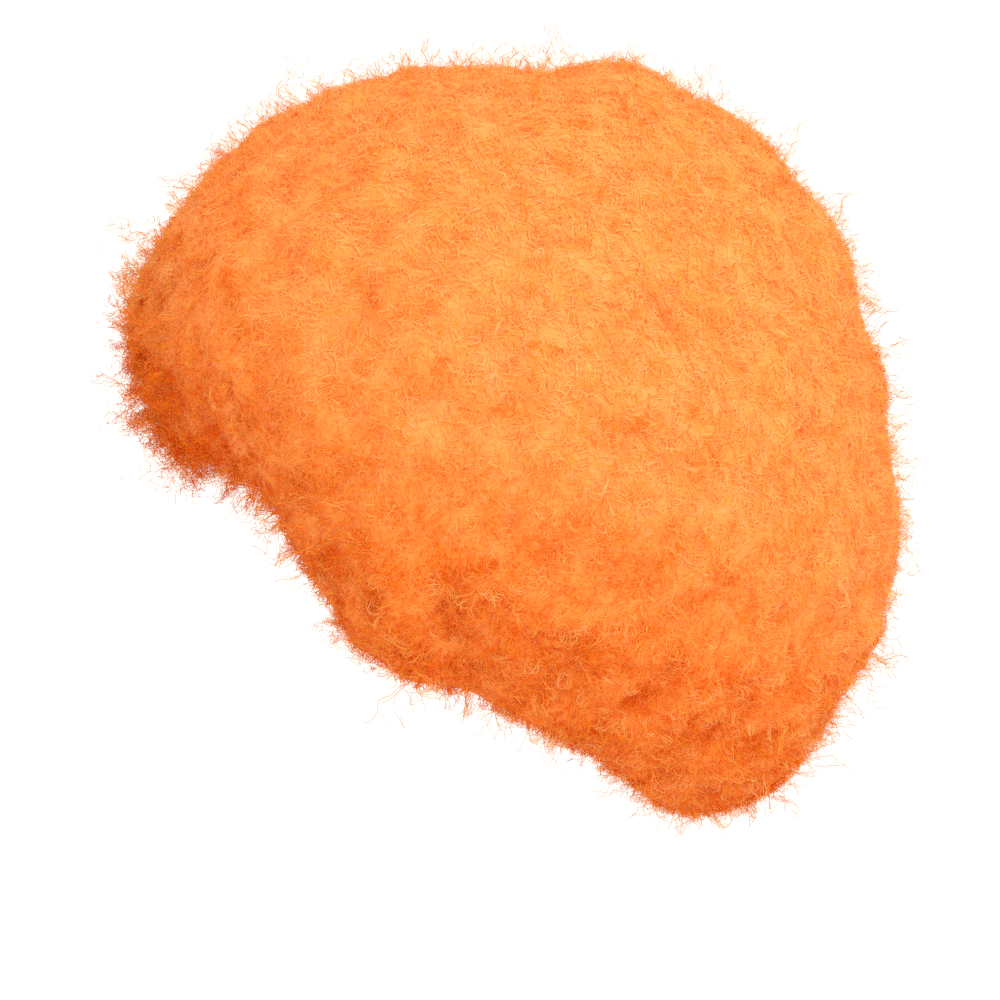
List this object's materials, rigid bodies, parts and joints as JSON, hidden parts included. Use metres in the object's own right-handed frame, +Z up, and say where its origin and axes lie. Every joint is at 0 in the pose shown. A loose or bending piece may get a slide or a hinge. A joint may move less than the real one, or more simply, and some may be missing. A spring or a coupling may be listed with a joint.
{
  "type": "curly wig",
  "caption": "Big round curly wig of fine frizzed orange hair, sewn in rings to a stretch net cap with an elastic edge; it has a fringe in front and is fullest behind.",
  "frame": {"origin": "the point inside the crown of the cap that the top of the head touches", "axes": "+Z up out of the crown, -Y towards the face, +X towards the wearer's left side"},
  "size_m": [0.3831, 0.403, 0.3936],
  "materials": {
    "hair": "fine crimped synthetic fibre, bright orange, soft sheen",
    "net": "stretch net with sewn weft tracks, dark orange",
    "elastic": "ribbed elastic binding, dark orange"
  },
  "bodies": {
    "root": {"cap": "net", "edge_band": "elastic", "weft_rim": "hair", "weft_nape": "hair", "weft_temple": "hair", "weft_middle": "hair", "weft_upper": "hair", "weft_top": "hair", "weft_swirl": "hair", "weft_crown": "hair"}
  },
  "joints": []
}
